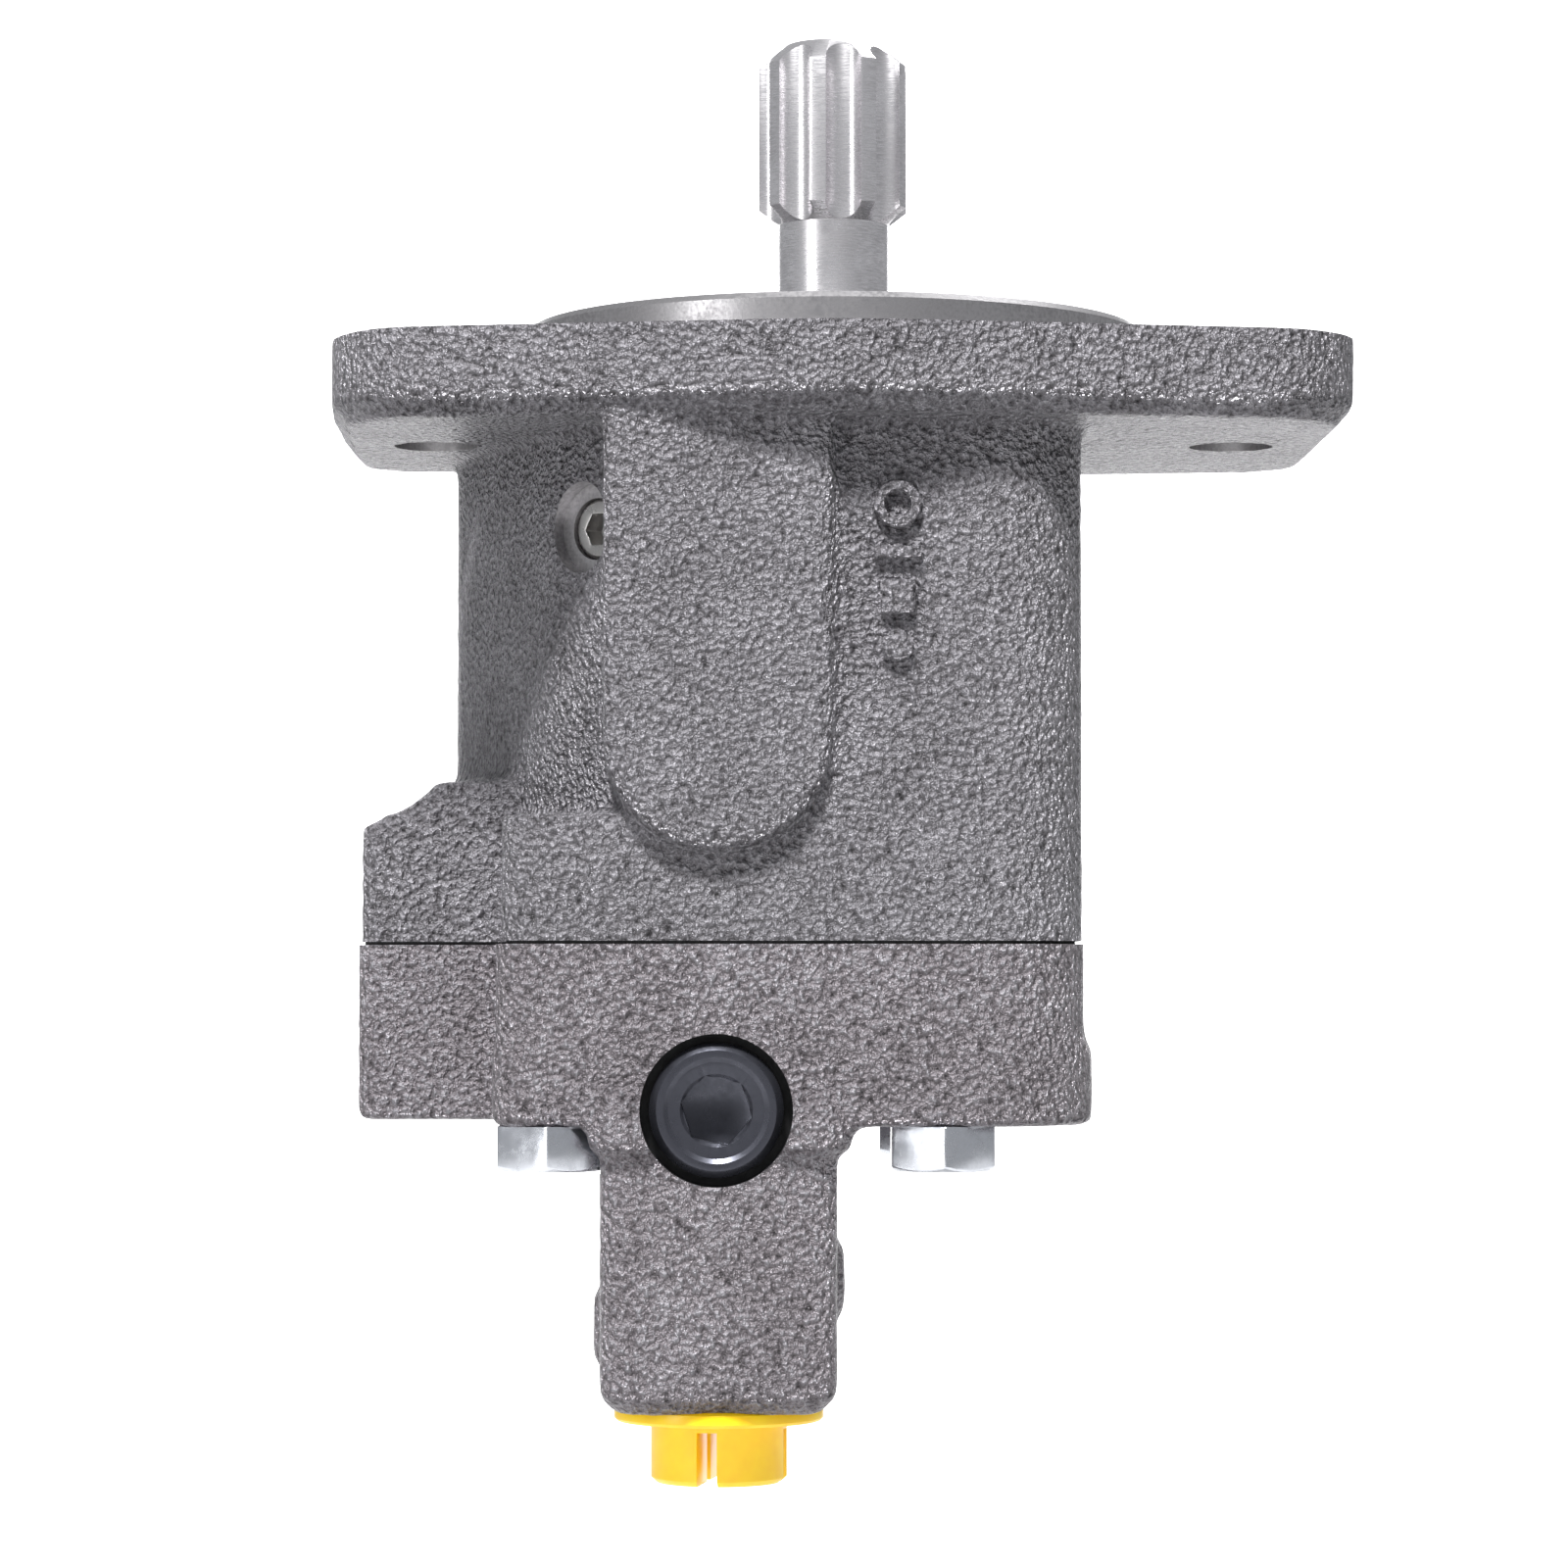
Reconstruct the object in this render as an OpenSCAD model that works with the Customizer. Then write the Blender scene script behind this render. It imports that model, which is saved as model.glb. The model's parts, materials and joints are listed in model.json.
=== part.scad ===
// Variable axial piston pump with a two-bolt flange, a splined shaft and a pressure compensator.
// Frame: origin on the shaft axis at the flange's mounting face, +Z along the shaft towards the
// spline, -Y towards the side with the socket plug, +X to the side without the lug. Millimetres.

/* [Mounting flange] */
// Diameter of the centring pilot
pilot_d = 82.55; // [82.0:0.05:83.0]
// Height of the pilot above the mounting face
pilot_h = 4; // [3:0.5:6]
// Distance between the two flange holes
bolt_span = 106.4; // [106:0.1:108]
// Diameter of the flange holes
bolt_hole_d = 11.1; // [10.5:0.1:12]
// Thickness of the flange
flange_t = 9.7; // [9:0.1:11]

/* [Shaft] */
// Outer diameter of the spline teeth
spline_d = 20; // [19:0.5:21]
// Number of spline teeth
spline_teeth = 9; // [8:1:10]
// Top end of the shaft above the mounting face
shaft_top = 41.9; // [38:0.1:46]
// Diameter of the neck below the spline
neck_d = 14.65; // [14:0.05:15.5]

/* [Housing] */
// Depth of the joint face below the mounting face
joint_depth = 77.6; // [76:0.1:79]
// Radius of the chamber that holds the rotating group
chamber_r = 26; // [25.6:0.1:26.3]
// Right side of the housing from the shaft axis
side_x = 33.5; // [33:0.1:35]
// Front and back faces of the housing from the shaft axis
face_y = 36; // [36:0.1:37]

/* [End cover] */
// Depth of the cover's underside below the mounting face
cover_depth = 101; // [100.5:0.1:102]
// Depth of the bottom of the outlet stem below the mounting face
stem_depth = 137; // [134:0.5:140]
// Width of the outlet stem
stem_w = 30.3; // [30:0.1:31]

/* [Rotating group] */
// Number of pistons
pistons_n = 7; // [5:1:7]
// Radius of the circle that the pistons stand on
pitch_r = 17; // [16.8:0.1:17.2]
// Diameter of a piston
piston_d = 9; // [8.5:0.1:9.1]
// Radial clearance of every running fit
fit_gap = 0.03; // [0.02:0.01:0.05]

/* [Hidden] */
$fn = 96;
eps = 0.05;

joint_z = -joint_depth;
cover_z = -cover_depth;
stem_z = -stem_depth;
gasket_t = 0.4;
cover_top = joint_z - gasket_t;

// Two M8 hex heads stand under the cover on each side
bolt_xs = [-36.6, 13.3];
bolt_ys = [-29, 29];
cover_bolt_tip = -65;
cover_bolt_head = 5.3;
lug_x = -53;
lug_y = 13;
dowel_at = [[27.5, -19.5], [-37, 17]];
dowel_r = 3;

// The outlet stem and the compensator bore share the plane of the front boss
boss_x = -15.2;
boss_r = 14.5;
boss_y = 39;
boss_low_z = -52;
stem_x = -stem_w / 2;
stem_back_y = -6;
outlet_y = -21;
comp_x = -15.4;
comp_z = -99;

// Bearings on the shaft
journal_r = 10;
front_bearing_top = -8;
front_bearing_h = 12;
front_ball_n = 9;
front_ball_r = 3.15;
front_ball_pitch = 15.5;
front_bearing_bottom = front_bearing_top - front_bearing_h;
chamber_top = -22;
rear_journal_r = 7.5;
rear_cup_r = 10.5;
rear_bearing_top = -80;
rear_bearing_bottom = -92;
needle_r = 1;
needle_n = 14;
needle_pitch = rear_journal_r + needle_r + fit_gap;

// Swash plate: its face lies in the plane of its pivot axis
pivot_z = -41;
swash_r = 24;
swash_t = 6;
cradle_r = 17;
cradle_liner = 1.5;
cradle_x = 15.5;
cradle_w = 7;
front_arm = [boss_x, -30.5];
rear_arm = [-18, 29];
arm_ball_r = 4;
control_r = 4.5;
spring_well_r = 6.6;

// Rotating group stack, measured down from the swash face
slipper_gap = 0.02;
slipper_r = 5.75;
slipper_t = 2.2;
slipper_neck_r = 4.3;
ball_joint_z = pivot_z - 5;
ball_joint_r = 3.2;
retainer_r = 22.8;
retainer_top = pivot_z - 2.25;
retainer_t = 1.5;
piston_top = pivot_z - 8.2;
piston_bottom = pivot_z - 25;
barrel_top = pivot_z - 9.2;
barrel_bottom = joint_z + 4;
barrel_r = 24.2;
shaft_mid_r = 9;
shaft_low_r = 8;

// A helix swept by a round wire: turns about Z between z0 and z1, closed at both ends
function coil_ring(a, z, mean_r, wire_r, sides) = [
    for (k = [0 : sides - 1])
        let (t = 360 * k / sides, r = mean_r + wire_r * cos(t))
            [r * cos(a), r * sin(a), z + wire_r * sin(t)]
];
module coil_spring(mean_r, wire_r, turns, z0, z1) {
    sides = 8;
    steps = 18;
    n = turns * steps;
    rise = z1 - z0 - 2 * wire_r;
    points = [
        for (i = [0 : n])
            each coil_ring(360 * i / steps, z0 + wire_r + rise * i / n, mean_r, wire_r, sides)
    ];
    walls = [
        for (i = [0 : n - 1], k = [0 : sides - 1])
            let (a = i * sides + k, b = i * sides + (k + 1) % sides)
                each [[a, a + sides, b], [b, a + sides, b + sides]]
    ];
    start_cap = [for (k = [0 : sides - 1]) k];
    end_cap = [for (k = [sides - 1 : -1 : 0]) n * sides + k];
    polyhedron(points, concat([start_cap], walls, [end_cap]));
}

module ring(outer_r, inner_r, z_low, z_high) {
    difference() {
        translate([0, 0, z_low]) cylinder(r = outer_r, h = z_high - z_low);
        translate([0, 0, z_low - 1]) cylinder(r = inner_r, h = z_high - z_low + 2);
    }
}

module disc(r, z_low, z_high) {
    translate([0, 0, z_low]) cylinder(r = r, h = z_high - z_low);
}

module torus(major_r, wire_r) {
    rotate_extrude() translate([major_r, 0]) circle(r = wire_r, $fn = 24);
}

module hex_prism(across_flats, h) {
    cylinder(r = across_flats / 2 / cos(30), h = h, $fn = 6);
}

module around(count) {
    for (i = [0 : count - 1]) {
        rotate([0, 0, 360 * i / count]) children();
    }
}

// Children are drawn along +Z and turned to point along +Y from y0, on the compensator axis
module on_comp_axis(y0) {
    translate([comp_x, y0, comp_z]) rotate([-90, 0, 0]) children();
}

// Children point straight out of the slanted left front face, at the bleed screw
bleed_angle = 40;
bleed_at = [-33, -22.7, -24.2];
module on_bleed_axis() {
    translate(bleed_at) rotate([90, 0, -bleed_angle]) children();
}

module on_drain_axis() {
    translate([10, face_y, -33]) rotate([-90, 0, 0]) children();
}

inlet_z = -89.5;
module on_inlet_axis() {
    translate([side_x - 0.3, 0, inlet_z]) rotate([0, 90, 0]) children();
}

module flange_outline() {
    hull() {
        circle(r = 45, $fn = 96);
        for (sx = [-1, 1], sy = [-1, 1]) {
            translate([sx * 52.5, sy * 22.5]) circle(r = 14, $fn = 48);
        }
    }
}

// Upper body: rounded on the right; on the left its wall leans back past the flange hole, so that a
// nut fits there, and reaches its widest near the back
module upper_outline() {
    left_wall = [
        [-21, -face_y], [-29.7, -27], [-37, -17.5], [-43.2, -4],
        [-48.2, 9], [-51.7, 20], [-51.7, 31], [-47, face_y]
    ];
    hull() {
        polygon(left_wall);
        for (sy = [-1, 1]) {
            translate([side_x - 11.5, sy * (face_y - 11.5)]) circle(r = 11.5, $fn = 48);
        }
    }
}

// The foot of the housing and the cover fill the left corners for the cover bolts
module foot_outline() {
    hull() {
        for (sy = [-1, 1]) {
            translate([side_x - 11.5, sy * (face_y - 11.5)]) circle(r = 11.5, $fn = 48);
            translate([-38.7, sy * (face_y - 4)]) circle(r = 4, $fn = 32);
        }
    }
}

module lug_outline() {
    translate([-62.6, -8]) square([20, 42]);
}

module cover_bolt_places() {
    for (x = bolt_xs, y = bolt_ys) {
        translate([x, y, 0]) children();
    }
}

module housing() {
    color([0.42, 0.41, 0.40]) difference() {
        union() {
            flange();
            disc(pilot_d / 2, -1, pilot_h - 0.8);
            translate([0, 0, pilot_h - 0.8 - eps / 2])
                cylinder(r1 = pilot_d / 2, r2 = pilot_d / 2 - 0.8, h = 0.8 + eps / 2);
            translate([0, 0, joint_z]) linear_extrude(joint_depth - flange_t + eps) upper_outline();
            translate([0, 0, joint_z]) linear_extrude(16.1) foot_outline();
            translate([0, 0, joint_z]) linear_extrude(14.6) lug_outline();
            for (sy = [-1, 1]) {
                housing_boss(sy);
            }
            foundry_marks();
        }
        housing_chamber();
        housing_bores();
    }
}

// The ears are a little thinner around their holes, where the nuts sit
module flange() {
    difference() {
        translate([0, 0, -flange_t]) linear_extrude(flange_t) flange_outline();
        for (x = [-70, 36]) {
            translate([x, -24, -flange_t - 1]) cube([34, 45, 2.3]);
        }
    }
}

// Bosses on the front and the back make room for the swash plate's arms
module housing_boss(side) {
    translate([boss_x, side * (boss_y + 20) / 2, boss_low_z])
        rotate([90, 0, 0]) cylinder(r = boss_r, h = boss_y - 20, center = true);
    translate([boss_x - boss_r, side > 0 ? 20 : -boss_y, boss_low_z])
        cube([2 * boss_r, boss_y - 20, -boss_low_z - flange_t + eps]);
}

// Raised casting marks: a ring, a bar, a square and a dot down the front face
module foundry_marks() {
    translate([7.5, -face_y + 0.3, -22.5]) rotate([90, 0, 0]) ring(3, 1.7, 0, 0.9);
    translate([7.5, -face_y + 0.3, -28.6]) rotate([90, 0, 0])
        translate([-3, -0.8, 0]) cube([6, 1.6, 0.9]);
    translate([7.5, -face_y + 0.3, -34.2]) rotate([90, 0, 0])
        translate([-2.2, -2.2, 0]) cube([4.4, 4.4, 0.9]);
    translate([7.5, -face_y + 0.3, -40.4]) rotate([90, 0, 0]) cylinder(r = 2, h = 0.9);
}

module housing_chamber() {
    difference() {
        disc(chamber_r, joint_z - 1, chamber_top);
        cradle_saddles();
    }
    // room for the front arm and the control piston
    translate([front_arm[0] - 4.9, front_arm[1], pivot_z - 12.5]) cube([9.8, 14.5, 18.2]);
    translate([front_arm[0], front_arm[1], pivot_z - 12.5]) cylinder(r = 5, h = 18.2);
    translate([front_arm[0], front_arm[1], joint_z - 1])
        cylinder(r = control_r + fit_gap, h = pivot_z - 11 - joint_z);
    // room for the rear arm and the bias spring
    translate([rear_arm[0] - 4.9, 14, pivot_z - 5.5]) cube([9.8, rear_arm[1] - 14, 19.5]);
    translate([rear_arm[0], rear_arm[1], joint_z - 1])
        cylinder(r = spring_well_r, h = pivot_z + 14 - joint_z + 1);
}

// Two saddles hang from the chamber's roof and carry the cradle bearings
module cradle_saddles() {
    difference() {
        for (sx = [-1, 1]) {
            translate([sx * cradle_x - cradle_w / 2, -20, pivot_z + 12]) cube([cradle_w, 40, 12]);
        }
        translate([-30, 0, pivot_z]) rotate([0, 90, 0]) cylinder(r = cradle_r + cradle_liner + 0.15, h = 60);
    }
}

module housing_bores() {
    // seal seat, snap ring groove, shoulder and bearing seat
    disc(17.5, -5, pilot_h + 1);
    disc(18.6, 2.2, 3.4);
    disc(15, -9, -4);
    disc(21, chamber_top - 1, front_bearing_top);
    for (sx = [-1, 1]) {
        translate([sx * bolt_span / 2, 0, -flange_t - 1]) cylinder(d = bolt_hole_d, h = flange_t + 2);
    }
    cover_bolt_places() translate([0, 0, joint_z - 1])
        cylinder(r = 4.02, h = cover_bolt_tip + 2.5 - joint_z);
    translate([lug_x, lug_y, joint_z - 1]) cylinder(r = 4.02, h = 12.3);
    for (p = dowel_at) {
        translate([p[0], p[1], joint_z - 1]) cylinder(r = dowel_r + 0.02, h = 6.2);
    }
    // bleed screw seat on the slanted face
    on_bleed_axis() {
        translate([0, 0, -3.1]) cylinder(r = 5.9, h = 14);
        translate([0, 0, -9.5]) cylinder(r = 4.02, h = 9);
        translate([0, 0, -20]) cylinder(r = 1.5, h = 13);
    }
    // case drain seat at the back
    on_drain_axis() {
        translate([0, 0, -4]) cylinder(r = 8.4, h = 6);
        translate([0, 0, -5.6]) cylinder(r = 7.2, h = 6);
        translate([0, 0, -11]) cylinder(r = 6.03, h = 9);
        translate([0, 0, -16]) cylinder(r = 4, h = 9);
    }
}

module end_cover() {
    color([0.40, 0.39, 0.38]) difference() {
        union() {
            translate([0, 0, cover_z]) linear_extrude(cover_top - cover_z) foot_outline();
            translate([0, 0, cover_z]) linear_extrude(cover_top - cover_z) lug_outline();
            // outlet stem with rounded edges
            translate([stem_x, (stem_back_y - face_y) / 2, stem_z])
                linear_extrude(cover_z - stem_z + 1) stem_outline();
            // barrel of the compensator bore under the cover
            on_comp_axis(-8) cylinder(r = 13.6, h = face_y + 8);
            stem_pads();
        }
        cover_bores();
        cover_passages();
    }
}

module stem_outline() {
    hull() {
        for (sx = [-1, 1], sy = [-1, 1]) {
            translate([sx * (stem_w / 2 - 3.5), sy * 11.5]) circle(r = 3.5, $fn = 32);
        }
    }
}

// Raised round pads on both sides of the stem
module stem_pads() {
    translate([-stem_w - 0.8, outlet_y, -127]) rotate([0, 90, 0]) cylinder(r = 4.3, h = 3);
    translate([-2.5, outlet_y, -121]) rotate([0, 90, 0]) cylinder(r = 4.35, h = 3);
}

module cover_bores() {
    cover_bolt_places() {
        translate([0, 0, cover_z - 1]) cylinder(r = 4.5, h = 30);
        // the spot-facing cutter leaves a scallop where it meets the stem
        translate([0, 0, cover_z - 5.8]) cylinder(r = 7.7, h = 5.8);
    }
    translate([lug_x, lug_y, cover_z - 1]) cylinder(r = 4.5, h = 30);
    translate([lug_x, lug_y, cover_z - 1]) cylinder(r = 7, h = 10);
    for (p = dowel_at) {
        translate([p[0], p[1], cover_top - 5]) cylinder(r = dowel_r + 0.02, h = 6);
    }
    disc(rear_cup_r + 0.01, rear_bearing_bottom, cover_top + 1);
    disc(6, rear_bearing_bottom - 2, cover_top + 1);
    // compensator bore from front to back
    on_comp_axis(-face_y - 1) cylinder(r = 9.65, h = 5.5);
    on_comp_axis(-face_y - 1) cylinder(r = 8.05, h = 8.5);
    on_comp_axis(-face_y - 1) cylinder(r = 7.03, h = 16);
    on_comp_axis(-face_y) cylinder(r = 4, h = 46.5);
    on_comp_axis(10) cylinder(r = 5.6, h = 40);
    on_comp_axis(24) cylinder(r = 7.03, h = 14);
    on_comp_axis(32.4) cylinder(r = 8.05, h = 6);
    // outlet port in the stem's bottom
    translate([stem_x, outlet_y, stem_z - 1]) cylinder(r = 12.3, h = 21);
    // inlet port in the right side
    on_inlet_axis() {
        translate([0, 0, -4.3]) cylinder(r = 10.8, h = 6);
        translate([0, 0, -6.2]) cylinder(r = 9.9, h = 4);
        translate([0, 0, -13.5]) cylinder(r = 9.03, h = 10);
        translate([0, 0, -20]) cylinder(r = 7, h = 8);
    }
}

// Kidney-shaped pockets under the valve plate and the ways to the ports
module kidney(side, inner_r, outer_r, z_low, z_high) {
    intersection() {
        ring(outer_r, inner_r, z_low, z_high);
        translate([0, 0, z_low]) linear_extrude(z_high - z_low)
            polygon([[0, 0], [side * 30, 36], [side * 60, 0], [side * 30, -36]]);
    }
}

module cover_passages() {
    kidney(-1, 14.8, 19.2, cover_top - 6, cover_top + 1);
    kidney(1, 14.8, 19.2, cover_top - 6, cover_top + 1);
    // outlet way: across under the kidney, then down to the port
    link = [-7.2, -14];
    translate([-17, 0, cover_top - 7]) rotate([0, 90, atan2(link[1], link[0])])
        cylinder(r = 3, h = norm(link));
    translate([-17 + link[0], link[1], -118]) cylinder(r = 3.8, h = 118 + cover_top - 5);
    // pressure feed from the compensator bore to the control piston
    translate([front_arm[0], front_arm[1], cover_top + 1]) rotate([-135, 0, 0])
        cylinder(r = 1.4, h = 28.5);
}

module cover_gasket() {
    color([0.12, 0.12, 0.12]) difference() {
        translate([0, 0, cover_top]) linear_extrude(gasket_t) union() {
            foot_outline();
            lug_outline();
        }
        disc(chamber_r, cover_top - 1, joint_z + 1);
        cover_bolt_places() translate([0, 0, cover_top - 1]) cylinder(r = 4.6, h = 3);
        translate([lug_x, lug_y, cover_top - 1]) cylinder(r = 4.6, h = 3);
        for (p = dowel_at) {
            translate([p[0], p[1], cover_top - 1]) cylinder(r = dowel_r + 0.1, h = 3);
        }
        translate([front_arm[0], front_arm[1], cover_top - 1]) cylinder(r = 4.6, h = 3);
        translate([rear_arm[0], rear_arm[1], cover_top - 1]) cylinder(r = spring_well_r, h = 3);
    }
}

module cover_bolts() {
    color([0.72, 0.74, 0.78]) cover_bolt_places() {
        translate([0, 0, cover_z - cover_bolt_head]) intersection() {
            hex_prism(13, cover_bolt_head);
            cylinder(r1 = 6.4, r2 = 6.4 + 3 * cover_bolt_head, h = cover_bolt_head);
        }
        translate([0, 0, cover_z - eps]) cylinder(r = 4, h = cover_bolt_tip - cover_z);
    }
}

module lug_screw() {
    color([0.2, 0.2, 0.22]) translate([lug_x, lug_y, 0]) difference() {
        union() {
            disc(6.5, cover_z + 1, cover_z + 9);
            disc(4, cover_z + 8, joint_z + 10.5);
        }
        translate([0, 0, cover_z]) hex_prism(6, 5);
    }
}

module dowel_pins() {
    color([0.7, 0.7, 0.72]) for (p = dowel_at) {
        translate([p[0], p[1], cover_top - 4.8]) cylinder(r = dowel_r, h = 9.8);
    }
}

module shaft_seal() {
    color([0.15, 0.1, 0.08]) union() {
        ring(17.5, 15.8, -5, 2);
        ring(16.5, journal_r + 1.2, 0.6, 2);
        difference() {
            ring(journal_r + 2.4, journal_r + 0.04, -3.6, 2);
            translate([0, 0, -0.9]) torus(journal_r + 2.8, 1.05);
        }
        translate([0, 0, -0.9]) torus(journal_r + 2.8, 1);
    }
}

module seal_snap_ring() {
    color([0.5, 0.5, 0.5]) difference() {
        ring(18.5, 15.6, 2.25, 3.35);
        translate([0, -4, 0]) cube([30, 8, 6]);
    }
}

module front_bearing_outer_ring() {
    color([0.8, 0.8, 0.82]) difference() {
        ring(21, 17.2, front_bearing_bottom, front_bearing_top);
        translate([0, 0, (front_bearing_top + front_bearing_bottom) / 2])
            torus(front_ball_pitch, front_ball_r + 0.04);
    }
}

module front_bearing_inner_ring() {
    color([0.8, 0.8, 0.82]) difference() {
        ring(13.8, journal_r, front_bearing_bottom, front_bearing_top);
        translate([0, 0, (front_bearing_top + front_bearing_bottom) / 2])
            torus(front_ball_pitch, front_ball_r + 0.04);
    }
}

module front_bearing_balls() {
    color([0.85, 0.85, 0.87]) translate([0, 0, (front_bearing_top + front_bearing_bottom) / 2])
        around(front_ball_n) translate([front_ball_pitch, 0, 0]) sphere(r = front_ball_r, $fn = 32);
}

module front_bearing_cage() {
    color([0.7, 0.6, 0.35]) translate([0, 0, (front_bearing_top + front_bearing_bottom) / 2]) difference() {
        ring(16.5, 14.4, -4.2, 4.2);
        around(front_ball_n) translate([front_ball_pitch, 0, 0]) sphere(r = front_ball_r + 0.05, $fn = 32);
    }
}

module rear_bearing_cup() {
    color([0.75, 0.75, 0.77]) difference() {
        disc(rear_cup_r, rear_bearing_bottom, rear_bearing_top);
        disc(needle_pitch + needle_r + 0.04, rear_bearing_bottom + 0.8, rear_bearing_top + 1);
        disc(6, rear_bearing_bottom - 1, rear_bearing_top + 1);
    }
}

module rear_needle_rollers() {
    color([0.85, 0.85, 0.87]) around(needle_n) translate([needle_pitch, 0, rear_bearing_bottom + 2.2])
        cylinder(r = needle_r, h = 8.4, $fn = 24);
}

module rear_roller_cage() {
    color([0.6, 0.6, 0.62]) difference() {
        ring(needle_pitch + 0.45, needle_pitch - 0.45, rear_bearing_bottom + 1.2, rear_bearing_top - 0.4);
        around(needle_n) translate([needle_pitch, 0, rear_bearing_bottom + 2.1])
            cylinder(r = needle_r + 0.05, h = 8.6, $fn = 24);
    }
}

module drive_shaft() {
    chamfer_low = 2.1;
    chamfer_top = 2.9;
    spline_low = 18.3;
    groove_r = 2.335;
    groove_at = 9.735;
    color([0.68, 0.68, 0.67]) difference() {
        union() {
            translate([0, 0, shaft_top - chamfer_top])
                cylinder(r1 = spline_d / 2, r2 = 6.45, h = chamfer_top);
            disc(spline_d / 2, spline_low + chamfer_low, shaft_top - chamfer_top);
            translate([0, 0, spline_low])
                cylinder(r1 = neck_d / 2, r2 = spline_d / 2, h = chamfer_low);
            disc(neck_d / 2, 3.6, spline_low);
            translate([0, 0, 2.2]) cylinder(r1 = journal_r, r2 = neck_d / 2, h = 1.4);
            disc(journal_r, front_bearing_bottom - 1, 2.2);
            disc(12.2, front_bearing_bottom - 2, front_bearing_bottom);
            disc(shaft_mid_r, -60, front_bearing_bottom - 2);
            disc(shaft_low_r, -76, -59);
            disc(rear_journal_r, rear_bearing_bottom + 1.6, -75);
            translate([0, 0, rear_bearing_bottom + 0.9])
                cylinder(r1 = rear_journal_r - 0.7, r2 = rear_journal_r, h = 0.7);
        }
        for (i = [0 : spline_teeth - 1]) {
            rotate([0, 0, -83 + 360 * i / spline_teeth]) translate([groove_at, 0, spline_low - 1])
                cylinder(r = groove_r, h = 30, $fn = 48);
        }
        translate([0, 0, shaft_top - 5]) cylinder(r1 = 0.6, r2 = 2.6, h = 5 + eps);
    }
}

module cylinder_barrel() {
    bore_bottom = piston_bottom - 5.7;
    color([0.62, 0.60, 0.55]) difference() {
        disc(barrel_r, barrel_bottom, barrel_top);
        disc(shaft_mid_r + 0.04, -60, barrel_top + 1);
        disc(11, -71.8, -60.5);
        disc(11.8, -71.7, -70.6);
        disc(shaft_mid_r, barrel_bottom - 1, -59.9);
        around(pistons_n) translate([pitch_r, 0, bore_bottom])
            cylinder(r = piston_d / 2 + fit_gap, h = barrel_top - bore_bottom + 1);
        around(pistons_n) translate([pitch_r, 0, barrel_bottom - 1])
            cylinder(r = 2.2, h = bore_bottom - barrel_bottom + 2);
        around(3) translate([10.1, 0, -61]) cylinder(r = 0.85, h = 12, $fn = 24);
    }
}

module ball_guide() {
    guide_z = pivot_z - 5.5;
    color([0.7, 0.7, 0.7]) difference() {
        union() {
            intersection() {
                translate([0, 0, guide_z]) sphere(r = 10.9);
                disc(12, guide_z, pivot_z - 3.2);
            }
            disc(10.9, guide_z - 2, guide_z + eps);
        }
        disc(shaft_mid_r + 0.04, guide_z - 4, guide_z + 8);
    }
}

module push_pins() {
    color([0.75, 0.75, 0.77]) around(3) translate([10.1, 0, -61.1])
        cylinder(r = 0.8, h = 61.1 + pivot_z - 7.55, $fn = 24);
}

module barrel_spring() {
    color([0.5, 0.5, 0.52]) coil_spring(9.7, 0.8, 3, -69.3, -62.2);
}

module barrel_spring_washers() {
    color([0.65, 0.65, 0.66]) union() {
        ring(10.9, 8.3, -62.15, -61.15);
        ring(10.9, 8.3, -70.45, -69.35);
    }
}

module barrel_snap_ring() {
    color([0.45, 0.45, 0.46]) difference() {
        ring(11.7, 9.2, -71.6, -70.65);
        translate([0, -2, -72]) cube([15, 4, 3]);
    }
}

module piston_set_pistons() {
    color([0.72, 0.72, 0.73]) around(pistons_n) translate([pitch_r, 0, 0]) difference() {
        union() {
            disc(piston_d / 2, piston_bottom, piston_top);
            disc(1.9, piston_top - eps, ball_joint_z);
            translate([0, 0, ball_joint_z]) sphere(r = ball_joint_r, $fn = 48);
        }
        disc(2.9, piston_bottom - 1, piston_top - 3);
    }
}

module piston_slippers() {
    color([0.72, 0.55, 0.3]) around(pistons_n) translate([pitch_r, 0, 0]) difference() {
        union() {
            disc(slipper_r, pivot_z - slipper_gap - slipper_t, pivot_z - slipper_gap);
            disc(slipper_neck_r, pivot_z - 6.6, pivot_z - slipper_t);
        }
        translate([0, 0, ball_joint_z]) sphere(r = ball_joint_r + 0.04, $fn = 48);
        disc(2.8, pivot_z - 8, ball_joint_z);
        disc(3.2, pivot_z - 0.6, pivot_z + 1);
        disc(0.6, ball_joint_z, pivot_z + 1);
    }
}

module slipper_retainer() {
    color([0.6, 0.6, 0.62]) difference() {
        ring(retainer_r, 11, retainer_top - retainer_t, retainer_top);
        around(pistons_n) translate([pitch_r, 0, retainer_top - retainer_t - 1])
            cylinder(r = slipper_neck_r + 0.3, h = retainer_t + 2);
    }
}

module swash_plate() {
    color([0.55, 0.55, 0.56]) difference() {
        union() {
            disc(swash_r, pivot_z, pivot_z + swash_t);
            swash_runners();
            swash_arm(front_arm);
            swash_arm(rear_arm);
        }
        translate([0, 0, pivot_z - eps]) cylinder(r1 = 10.6, r2 = 14.6, h = cradle_r + 1);
    }
}

// Two part-cylinders about the pivot axis run in the cradle bearings
module swash_runners() {
    intersection() {
        union() {
            for (sx = [-1, 1]) {
                translate([sx * cradle_x - cradle_w / 2 + 0.3, 0, pivot_z]) rotate([0, 90, 0])
                    cylinder(r = cradle_r, h = cradle_w - 0.6);
            }
        }
        disc(swash_r - 0.5, pivot_z + 3, pivot_z + 20);
    }
}

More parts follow.
